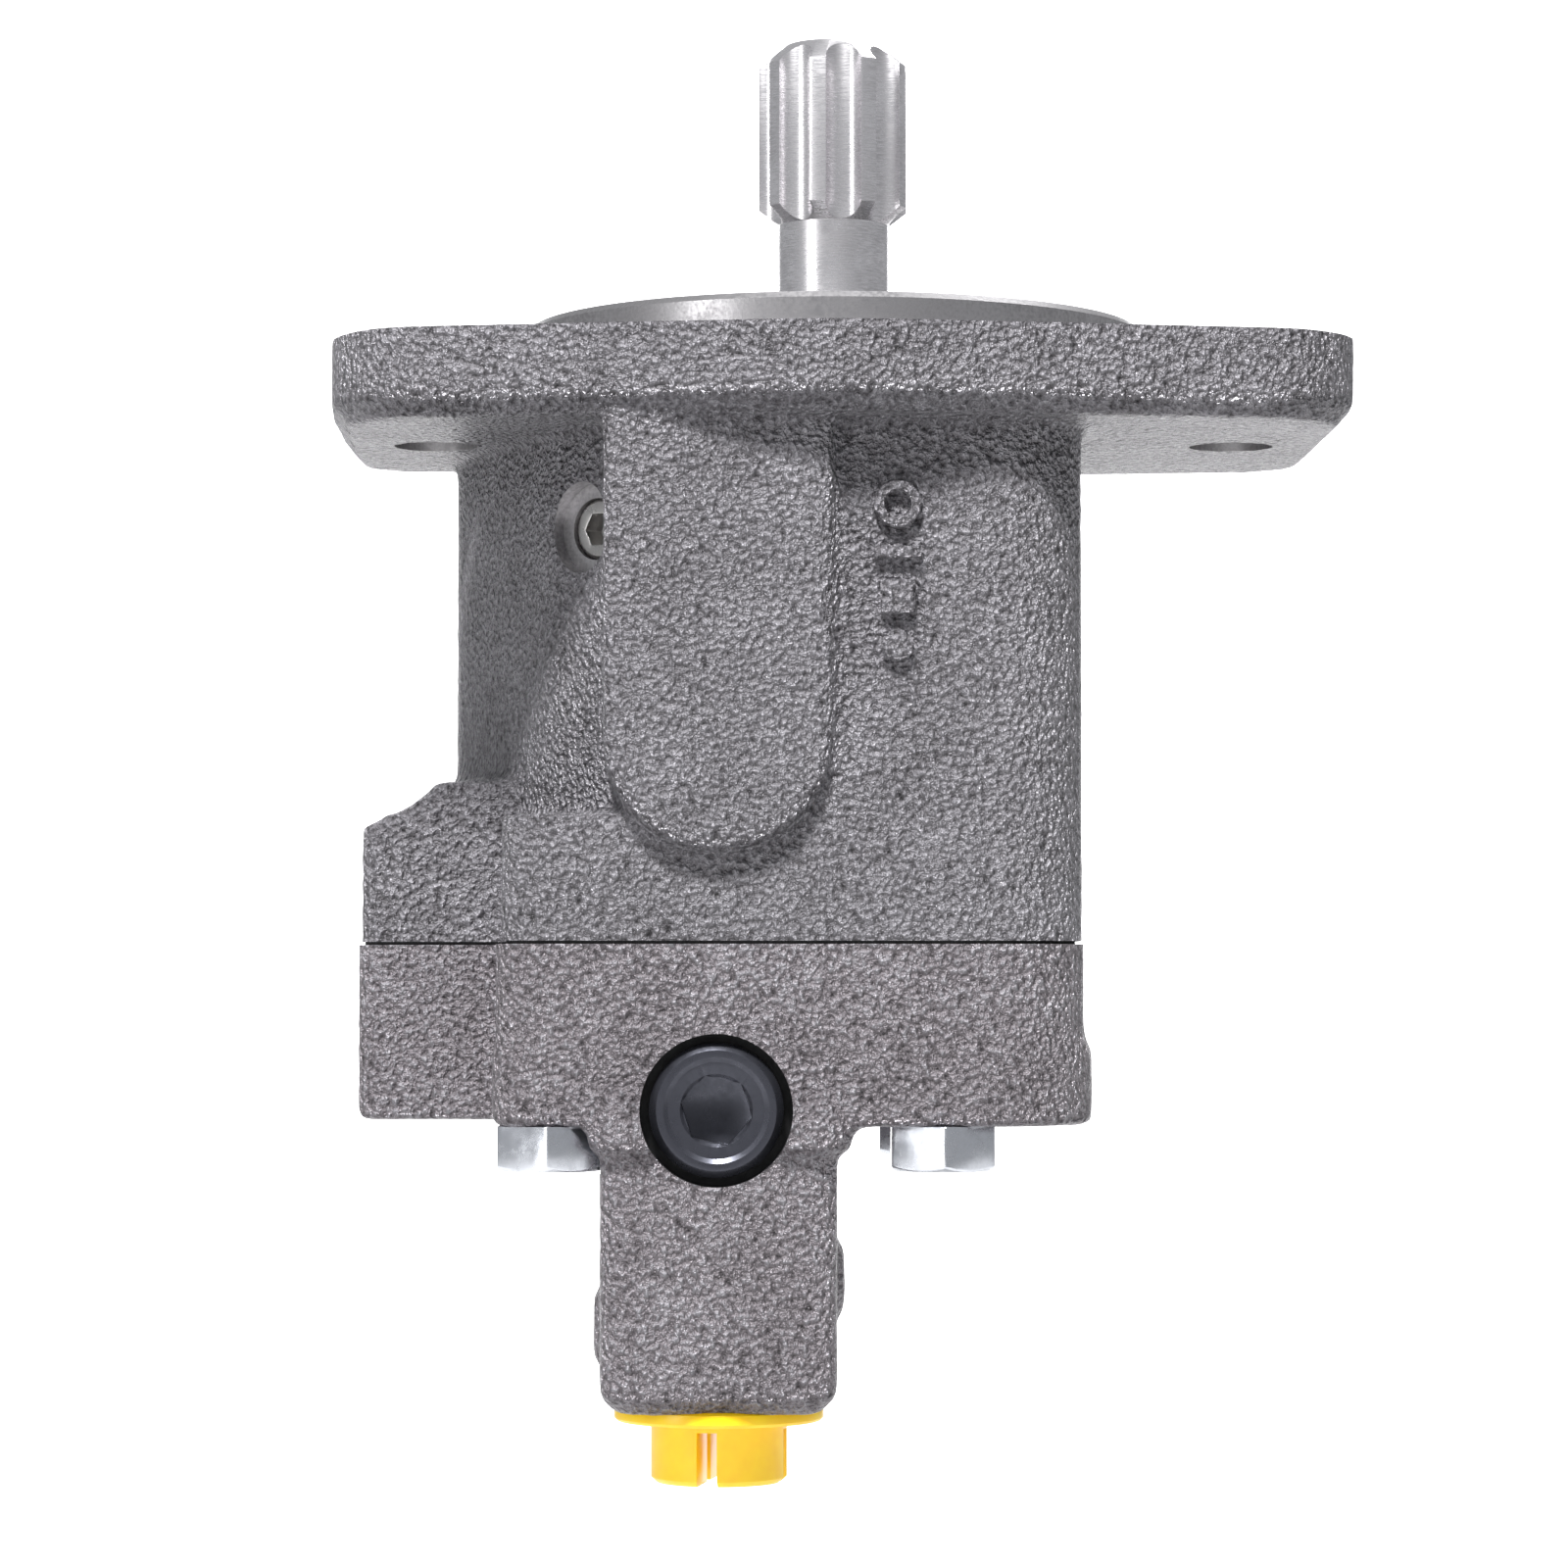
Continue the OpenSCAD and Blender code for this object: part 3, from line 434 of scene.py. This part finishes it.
# %% [markdown]
# ## The housing
# The pattern is a flange with two ears, a body that is rounded on the right and leans back on the
# left, a wider foot for the cover's bolts, a lug, and a tongue-shaped boss on the front and the back.
# The blocks overlap freely, because the remesh keeps only the outer skin.

# %% Housing pattern
FLANGE = [(0, 45.3), (66.9, 34.8), (67.3, 20), (66.8, -34.3), (0, -45.3), (-57.5, -36), (-64.8, -27.5),
          (-66.4, -8), (-67.2, 20), (-66.9, 34.8)]
FLANGE_ROUNDS = [7.7, 7, 3, 11.8, 7.7, 4, 6, 5, 3, 6]
BODY = [(-21, -36), (31.6, -36), (31.6, 36), (-47, 36), (-51.6, 31), (-51.6, 20), (-48.2, 9),
        (-43.2, -4), (-37, -17.5), (-29.7, -27)]
BODY_ROUNDS = [3, 13, 13, 2, 2, 3, 3, 3, 3, 2]
FOOT = [(31.4, -36), (31.4, 36), (-42.7, 36), (-42.7, -36)]
FOOT_ROUNDS = [13, 13, 4, 4]
LUG = [(-62.4, -8), (-38, -8), (-38, 34), (-62.4, 34)]
LUG_STEPS = [(-59.5, -60.7), (-57, -59.6), (-54.8, -58.3), (-53.2, -56.4)]
TONGUE = [(-29.7, -5), (-0.8, -5), (-0.8, -66.5), (-29.7, -66.5)]


def grown(outline, by):
    """The outline moved out by so many millimetres from its middle."""
    cx = sum(x for x, _ in outline) / len(outline)
    cy = sum(y for _, y in outline) / len(outline)
    moved = []
    for x, y in outline:
        away = Vector((x - cx, y - cy))
        away += away.normalized() * by
        moved.append((cx + away.x, cy + away.y))
    return moved


pattern = [
    block(FLANGE, -9.4, 1.8, FLANGE_ROUNDS),
    rod(43.5, -4, 7, steps=96),
    block(BODY, -84, -5, BODY_ROUNDS),
    block(grown(FLANGE, -2), -11.3, -5, FLANGE_ROUNDS),
    block(FOOT, -84, -61.6, FOOT_ROUNDS),
    block(LUG, -84, -61.9, 2),
    *[block([(x, -7.5), (-40, -7.5), (-40, 33.5), (x, 33.5)], -70, top, 1) for x, top in LUG_STEPS],
    block(TONGUE, -39, 39, [0, 0, 14.4, 14.4], segments=10, matrix=TO_FRONT),
]
housing = cast(pattern)
housing.data.materials.append(HOUSING_SKIN)
print("housing skin:", len(housing.data.polygons), "faces")

# %% [markdown]
# ### Foundry marks
# Raised marks on the front tell one mould from another. They are added after the smoothing, which
# would have melted them away, with their own small bevel.

# %% Foundry marks
MARK_X = 7.5
MARK_ROOT_Y = -35.2
MARK_TALL = 2.1
MARK_EDGE = 0.35


def mark(obj):
    edges = obj.modifiers.new("soft", "BEVEL")
    edges.width = MARK_EDGE * MM
    edges.segments = 3
    edges.angle_limit = radians(40)
    apply_modifiers(obj)
    obj.data.materials.append(HOUSING_SKIN)
    return obj


def on_front(z):
    return at(MARK_X, MARK_ROOT_Y, z) @ TO_FRONT


ring = lathe([(1.7, 0), (3.0, 0), (3.0, MARK_TALL), (1.7, MARK_TALL), (1.7, 0)], 48, on_front(-22.5))
bar = block([(-3, -0.8), (3, -0.8), (3, 0.8), (-3, 0.8)], 0, MARK_TALL, 0.3, 3, on_front(-28.6))
square = block([(-2.2, -2.2), (2.2, -2.2), (2.2, 2.2), (-2.2, 2.2)], 0, MARK_TALL, 0.4, 3,
               on_front(-34.2))
dot = rod(2, 0, MARK_TALL, 48, on_front(-40.4))
for raised in (ring, bar, square, dot):
    cut(housing, mark(raised), "UNION")
print("housing with marks:", len(housing.data.polygons), "faces")

# %% [markdown]
# ### Machining the housing
# Each cutter is a solid of what the machine takes away, and it carries the machined finish, which the
# boolean passes on to the new faces. The chamber's cutter first loses two saddles, so that they stay
# standing in the iron for the swash plate's bearings.

# %% Machine the housing
JOINT = -77.6
COVER_TOP = -78.0
BOLTS = [(x, y) for x in (-36.6, 13.3) for y in (-29, 29)]
LUG_SCREW = (-53, 13)
DOWELS = [(26, -19.5), (-37, 17)]
PIVOT = -41
BLEED = at(-33, -22.7, -24.2) @ Matrix.Rotation(radians(-40), 4, "Z") @ TO_FRONT
DRAIN = at(10, 36, -33) @ TO_BACK

chamber = lathe([(0, 8), (17.5, 8), (17.5, 3.4), (18.6, 3.4), (18.6, 2.2), (17.5, 2.2), (17.5, -5),
                 (15, -5), (15, -8), (21, -8), (21, -22), (26, -22), (26, -90), (0, -90)])
for side in (-1, 1):
    saddle = box(side * 15.5 - 3.5, side * 15.5 + 3.5, -20, 20, PIVOT + 12, PIVOT + 24)
    cut(saddle, rod(18.65, -30, 30, 96, at(0, 0, PIVOT) @ TO_RIGHT))
    cut(chamber, saddle)
machining = [
    lathe([(0, 4), (40.475, 4), (41.275, 3.2), (41.275, 0), (90, 0), (90, 12), (0, 12)], 192),
    chamber,
    box(-90, 90, -90, 90, -120, JOINT),
    box(-20.1, -10.3, -30.5, -16, -53.5, -35.3),
    rod(5, -53.5, -35.3, 48, at(-15.2, -30.5, 0)),
    rod(4.53, -90, -52, 48, at(-15.2, -30.5, 0)),
    box(-22.9, -13.1, 14, 29, -46.5, -27),
    rod(6.6, -90, -27, 48, at(-18, 29, 0)),
    lathe([(0, -20), (1.5, -20), (1.5, -9.5), (4.02, -9.5), (4.02, -3.1), (5.9, -3.1), (5.9, 12),
           (0, 12)], 64, BLEED),
    lathe([(0, -16), (4, -16), (4, -11), (6.03, -11), (6.03, -5.6), (7.2, -5.6), (7.2, -4), (8.4, -4),
           (8.4, 8), (0, 8)], 64, DRAIN),
    rod(4.02, -90, -66.3, 32, at(*LUG_SCREW, 0)),
]
machining += [rod(5.55, -20, 5, 64, at(x, 0, 0)) for x in (-53.2, 53.2)]
machining += [rod(4.02, -90, -62.5, 32, at(x, y, 0)) for x, y in BOLTS]
machining += [rod(3.02, -90, -72.4, 32, at(x, y, 0)) for x, y in DOWELS]
for cutter in machining:
    cut(housing, cutter, material=MACHINED_IRON)
finish_piece(housing, "housing_casting", "casing", ["housing"])

# %% [markdown]
# ## The end cover
# The cover continues the housing's foot and lug below the joint, and carries the outlet stem and the
# barrel of the compensator. Its lower part is cast about a millimetre wider than the housing, which
# is why the two never line up exactly on a real pump.

# %% Cover pattern
COVER = [(31.8, -36), (31.8, 36), (-43.4, 36), (-43.4, -36)]
COVER_LOW = [(32.8, -36), (32.8, 36), (-43.9, 36), (-43.9, -36)]
STEM = [(-30.2, -36), (-0.1, -36), (-0.1, -6), (-30.2, -6)]
COMPENSATOR = (-15.4, 0, -99)
cover = cast([
    block(COVER, -100, -70, FOOT_ROUNDS),
    block(COVER_LOW, -101.1, -91, FOOT_ROUNDS),
    block([(-62.9, -8), (-38, -8), (-38, 34), (-62.9, 34)], -101, -70, 2.5),
    block(STEM, -135.9, -95, 3.5),
    block(grown(STEM, -2.2), -137.5, -130, 3.5),
    block(grown(STEM, 2.6), -104.2, -98, 5),
    rod(13.6, -36, 36, 64, at(*COMPENSATOR) @ TO_FRONT),
    rod(4.3, 0, 3, 40, at(-31.2, -21, -127) @ TO_RIGHT),
    rod(4.35, 0, 3, 40, at(-2.0, -21, -121) @ TO_RIGHT),
], grain=0.075)
cover.data.materials.append(COVER_SKIN)
print("cover skin:", len(cover.data.polygons), "faces")

# %% [markdown]
# ### Machining the cover
# The compensator's bore is stepped from both ends. The outlet, the inlet and the pockets under the
# valve plate are plain cutters too. The bore around the socket plug is coloured nearly black: painted
# shade for a deep, narrow bore, with some real oil in it.

# %% Machine the cover
FRONT_BORE = at(*COMPENSATOR) @ TO_FRONT
BACK_BORE = at(*COMPENSATOR) @ TO_BACK
INLET = at(33.2, 0, -89.5) @ TO_RIGHT
OUTLET_AXIS = (-15.15, -21)
plug_bore = lathe([(0, 12), (4, 12), (4, 21), (7.03, 21), (7.03, 29.5), (8.05, 29.5), (8.05, 32),
                   (9.65, 32), (9.65, 50), (0, 50)], 96, FRONT_BORE)
drilling = [
    box(-90, 90, -90, 90, COVER_TOP, -50),
    plug_bore,
    lathe([(0, -20), (4, -20), (4, 10), (5.6, 10), (5.6, 24), (7.03, 24), (7.03, 32.4), (8.05, 32.4),
           (8.05, 50), (0, 50)], 64, BACK_BORE),
    lathe([(0, -118), (3.8, -118), (12.3, -118), (12.3, -150), (0, -150)], 96, at(*OUTLET_AXIS, 0)),
    lathe([(0, -18), (7, -18), (7, -13.5), (9.03, -13.5), (9.03, -6.2), (9.9, -6.2), (9.9, -4.3),
           (10.8, -4.3), (10.8, 8), (0, 8)], 64, INLET),
    lathe([(0, -94), (6, -94), (6, -92), (10.51, -92), (10.51, -70), (0, -70)], 64),
    rod(4.5, -110, -70, 32, at(*LUG_SCREW, 0)),
    rod(7, -110, -92, 48, at(*LUG_SCREW, 0)),
]
drilling += [rod(4.5, -110, -70, 32, at(x, y, 0)) for x, y in BOLTS]
drilling += [rod(7.7, -107.2, -101, 48, at(x, y, 0)) for x, y in BOLTS]
drilling += [rod(3.02, -83, -70, 32, at(x, y, 0)) for x, y in DOWELS]
for cutter in drilling:
    # the plug bore gets the nearly black colour, painted shade with a little real oil; the rest get
    # machined iron
    cut(cover, cutter, material=OILED_BORE_PAINTED_SHADE if cutter == plug_bore else MACHINED_IRON)
finish_piece(cover, "end_cover_casting", "casing", ["end_cover"])

# %% [markdown]
# ## The gasket
# A gasket is cut a little smaller than the castings, so the joint shows as a thin dark groove. It
# could be a line painted in the material, but a real gap keeps its shadow from every side.

# %% Gasket
gasket = block([(30.7, -35.4), (30.7, 35.4), (-42.1, 35.4), (-42.1, -35.4)], COVER_TOP, JOINT,
               FOOT_ROUNDS)
gasket_lug = block([(-62.0, -7.4), (-38, -7.4), (-38, 33.4), (-62.0, 33.4)], COVER_TOP, JOINT, 1.8)
cut(gasket, gasket_lug, "UNION")
for x, y, radius in [(0, 0, 26), (*LUG_SCREW, 4.6), (-15.2, -30.5, 4.6), (-18, 29, 6.6)] + \
        [(x, y, 4.6) for x, y in BOLTS] + [(x, y, 3.1) for x, y in DOWELS]:
    cut(gasket, rod(radius, -80, -75, 48, at(x, y, 0)))
finish_piece(gasket, "joint_gasket", "casing", ["cover_gasket"], FINISHES["gasket"])

# %% [markdown]
# ## The drive shaft
# The shaft is turned first and splined afterwards, as in the shop: nine round-bottomed spaces are
# cut out of a chamfered blank, and the lands between them keep the turned finish.

# %% Drive shaft
shaft = lathe([(0, -91.1), (6.8, -91.1), (7.5, -90.4), (7.5, -76), (8, -76), (8, -60), (9, -60),
               (9, -22), (12.2, -22), (12.2, -20), (10, -20), (10, 2.2), (7.33, 3.6), (7.33, 18.3),
               (10, 20.4), (10, 39.5), (6.45, 42.5), (2.6, 42.5), (0.6, 37.5), (0, 37.1)], 144)
TEETH = 9
FIRST_SPACE = -83
SPACE_RADIUS = 2.335
SPACE_CIRCLE = 9.735
for tooth in range(TEETH):
    angle = radians(FIRST_SPACE + 360 // TEETH * tooth)
    middle = at(SPACE_CIRCLE * cos(angle), SPACE_CIRCLE * sin(angle), 0)
    cut(shaft, rod(SPACE_RADIUS, 17.3, 48, 48, middle))
finish_piece(shaft, "splined_shaft", "rotating_group", ["drive_shaft"], TURNED_STEEL,
             sharp=28, bevel=0.12)


# %% [markdown]
# ## Plugs and screws
# Fasteners are turned blanks with a hexagon cut in or left on. A hexagon head gets its chamfer by
# keeping only what lies inside a turned cone, just as the real head is made.

# %% Compensator plug
plug = lathe([(0, 19.6), (3, 19.6), (3, 21.6), (7, 21.6), (7, 28.8), (5.6, 28.8), (5.6, 31.6), (8.5, 31.6),
              (8.5, 34.7), (7.6, 35.6), (6.7, 35.6), (6.1, 35.1), (0, 35.1)], 96, FRONT_BORE)
cut(plug, block(hexagon(8, -12), 30.1, 36, matrix=FRONT_BORE))
cut(plug, lathe([(0, 36), (5.35, 36), (4.2, 34.6), (0, 34.6)], 64, FRONT_BORE))
cut(plug, lathe([(0, 31), (3.2, 31), (3.2, 30.1), (0, 28.4)], 48, FRONT_BORE))
finish_piece(plug, "compensator_socket_plug", "casing", ["compensator_plug"],
             FINISHES["black_steel"], bevel=0.12)


# %% Cover bolts
def hex_head(across_flats, low, high, matrix, turn=0, chamfer_low=True, chamfer_high=False):
    """A hexagon with its corners taken off by a turned cone at one end or both."""
    head = block(hexagon(across_flats, turn), low, high, matrix=matrix)
    rim = across_flats / 2 * 0.95
    wide = across_flats / 2 / cos(radians(30)) + 0.1
    drop = (wide - rim) * 0.5
    section = [(0, low), (rim, low), (wide, low + drop)] if chamfer_low else [(0, low), (wide, low)]
    if chamfer_high:
        section += [(wide, high - drop), (rim, high), (0, high)]
    else:
        section += [(wide, high), (0, high)]
    return cut(head, lathe(section, 72, matrix), "INTERSECT")


bolts = []
for x, y in BOLTS:
    bolt = hex_head(13, -106.8, -101, at(x, y, 0), turn=30)
    cut(bolt, rod(4, -101.5, -65, 40, at(x, y, 0)), "UNION")
    bolts.append(bolt)
finish_piece(merge(bolts), "cover_hex_bolts", "casing", ["cover_bolts"],
             FINISHES["zinc_steel"], bevel=0.15)

# %% Lug screw, bleed screw and the two sunk plugs
lug_screw = lathe([(0, -100), (6.1, -100), (6.5, -99.6), (6.5, -92), (4, -92), (4, -67.3), (0, -67.3)], 64,
                  at(*LUG_SCREW, 0))
cut(lug_screw, block(hexagon(6), -102, -96, matrix=at(*LUG_SCREW, 0)))
finish_piece(lug_screw, "lug_socket_screw", "casing", ["lug_screw"],
             FINISHES["black_steel"], bevel=0.12)

bleed = lathe([(0, -9), (3.6, -9), (4, -8.6), (4, -3.9), (3.5, -3.4), (0, -3.4)], 48, BLEED)
cut(bleed, block(hexagon(4), -6.5, 0, matrix=BLEED))
finish_piece(bleed, "bleed_set_screw", "casing", ["bleed_screw"],
             FINISHES["plain_steel"], bevel=0.1)

drain = lathe([(0, -10.8), (6, -10.8), (6, -6), (4.8, -6), (4.8, -3.9), (8, -3.9), (8, -1), (7.4, -0.4),
               (0, -0.4)], 64, DRAIN)
cut(drain, block(hexagon(6), -4, 2, matrix=DRAIN))
finish_piece(drain, "case_drain_socket_plug", "casing", ["case_drain_plug"],
             FINISHES["plain_steel"], bevel=0.12)

inlet = lathe([(0, -13.3), (9, -13.3), (9, -6.4), (7.4, -6.4), (7.4, -4.2), (10.4, -4.2), (10.4, -2.7),
               (9.7, -2), (0, -2)], 72, INLET)
cut(inlet, block(hexagon(10), -6, 2, matrix=INLET))
finish_piece(inlet, "inlet_socket_plug", "casing", ["inlet_plug"],
             FINISHES["black_steel"], bevel=0.15)

# %% [markdown]
# ## The compensator's adjuster
# At the back the pressure is set by a screw, held by a locknut on a hexagonal sleeve. Each is a piece
# of its own, because the screw turns.

# %% Adjuster
sleeve = hex_head(17, 36, 42.4, BACK_BORE, chamfer_low=False, chamfer_high=True)
neck = lathe([(0, 26), (7, 26), (7, 31.6), (5.6, 31.6), (5.6, 36.4), (0, 36.4)], 64, BACK_BORE)
cut(sleeve, neck, "UNION")
cut(sleeve, rod(3.53, 20, 50, 48, BACK_BORE))
finish_piece(sleeve, "adjuster_sleeve", "casing", ["compensator_sleeve"],
             FINISHES["zinc_steel"], bevel=0.15)

locknut = hex_head(13, 42.5, 49, BACK_BORE, turn=15, chamfer_low=True, chamfer_high=True)
cut(locknut, rod(3.53, 30, 60, 48, BACK_BORE))
finish_piece(locknut, "adjuster_hex_nut", "casing", ["adjuster_locknut"],
             FINISHES["zinc_steel"], bevel=0.15)

screw = lathe([(0, 22), (2.4, 22), (2.4, 26), (3.5, 26), (3.5, 53.5), (3, 54), (0, 54)], 48, BACK_BORE)
cut(screw, block(hexagon(4), 51, 56, matrix=BACK_BORE))
finish_piece(screw, "adjuster_set_screw", "adjuster", ["adjuster_screw"],
             FINISHES["plain_steel"], bevel=0.1)

# %% [markdown]
# ## The shipping plug
# A soft plug closes the outlet until the pump is fitted. It has a hollow skirt with sealing ribs, a
# thin rim, and a head with a cross of slots so it can be twisted out.

# %% Shipping plug
OUTLET = at(*OUTLET_AXIS, -137)
shipping = lathe([(0, -9.9), (8.0, -9.9), (8.75, -9.2), (8.75, -2), (13.1, -2), (13.5, -1.6), (13.5, -0.4),
                  (13.1, 0), (12, 0), (12, 2), (12.25, 2.5), (12, 3), (12, 5), (12.25, 5.5), (12, 6),
                  (12, 8), (12.25, 8.5), (12, 9), (11.7, 12), (10.2, 12), (10.2, 0.2),
                  (0, 0.2)], 96, OUTLET)
for turn in (-10, 80):
    slot = block([(-1.3, -15), (1.3, -15), (1.3, 15), (-1.3, 15)], -12, -3,
                 matrix=OUTLET @ Matrix.Rotation(radians(turn), 4, "Z"))
    cut(shipping, slot)
finish_piece(shipping, "shipping_plug_moulding", "outlet_plug",
             ["outlet_shipping_plug"], plastic, bevel=0.35)

# %% [markdown]
# ## Studio
# A pale floor and a bright wall stand well clear of the pump. The wall is its own light, so the
# background is plain white. A small lamp high in front rakes the sandy faces, a tall one fills the
# left side, and one high behind keeps the back from going black when the pump is seen from there.

# %% Floor, wall and lights
def card(name, corners, color, glow):
    bm = bmesh.new()
    bm.faces.new([bm.verts.new(corner) for corner in corners])
    obj = new_object(name, bm)
    material, tree, shader = start_material(name, color, 0.0, 0.9)
    shader.inputs["Emission Color"].default_value = (1, 1, 1, 1)
    shader.inputs["Emission Strength"].default_value = glow
    obj.data.materials.append(material)


FLOOR = -0.3
WALL_Y = 0.9
WALL_HALF = 0.34
WALL_TOP = 0.3
card("studio_floor", [(-3, -3, FLOOR), (3, -3, FLOOR), (3, 3, FLOOR), (-3, 3, FLOOR)],
     (0.6, 0.6, 0.6), 0.0)
card("studio_wall", [(-WALL_HALF, WALL_Y, FLOOR), (WALL_HALF, WALL_Y, FLOOR),
                     (WALL_HALF, WALL_Y, WALL_TOP), (-WALL_HALF, WALL_Y, WALL_TOP)],
     (0.9, 0.9, 0.9), 1.1)


def area_light(name, place, target, width, height, power):
    data = bpy.data.lights.new(name, "AREA")
    data.shape = "RECTANGLE"
    data.size = width
    data.size_y = height
    data.energy = power
    obj = bpy.data.objects.new(name, data)
    obj.location = place
    obj.rotation_euler = (Vector(target) - Vector(place)).to_track_quat("-Z", "Y").to_euler()
    bpy.context.scene.collection.objects.link(obj)


area_light("front lamp", (-0.14, -0.6, 0.9), (0, 0, -0.05), 0.16, 0.16, 31)
area_light("left lamp", (-0.6, -0.55, 0.05), (0, 0, 0), 0.12, 0.8, 2.0)
area_light("back lamp", (0.25, 0.7, 0.9), (0, 0, -0.05), 0.3, 0.3, 9)

world = bpy.data.worlds.new("studio")
world.use_nodes = True
world.node_tree.nodes["Background"].inputs["Color"].default_value = (0.95, 0.97, 1.0, 1)
world.node_tree.nodes["Background"].inputs["Strength"].default_value = 0.4
bpy.context.scene.world = world
bpy.context.scene.view_settings.view_transform = "Standard"
print("lights:", len(bpy.data.lights))
